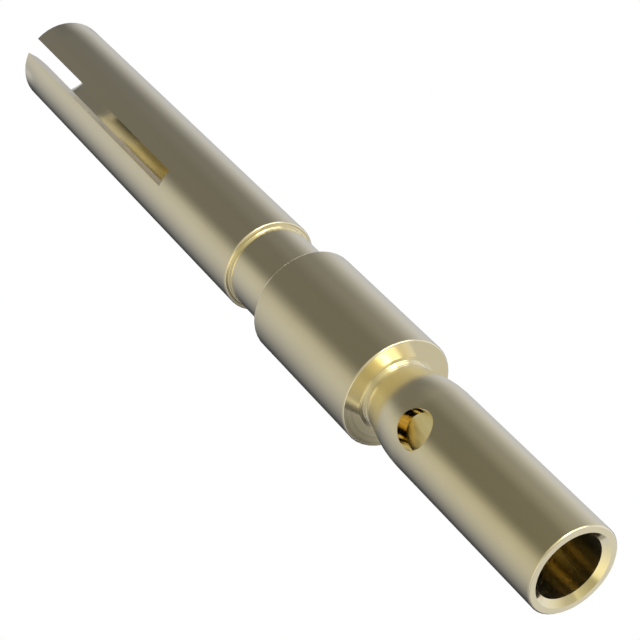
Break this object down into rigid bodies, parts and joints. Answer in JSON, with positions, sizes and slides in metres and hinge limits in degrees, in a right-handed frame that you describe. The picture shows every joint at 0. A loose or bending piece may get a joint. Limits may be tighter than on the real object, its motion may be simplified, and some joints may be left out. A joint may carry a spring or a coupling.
{
  "type": "crimp socket contact",
  "caption": "Turned crimp socket contact: sawn spring-finger socket, clip groove, collar and a hollow crimp barrel with an inspection hole.",
  "frame": {"origin": "middle of the socket's mouth, in the plane of the end that it stands on", "axes": "+Z along the turning axis from the socket's mouth to the wire end, +X through the near side of the saw cut and the inspection hole"},
  "size_m": [0.003, 0.003, 0.0252],
  "materials": {
    "gold_plating": "satin gold plating over turned brass"
  },
  "bodies": {
    "root": {"contact": "gold_plating"}
  },
  "joints": []
}
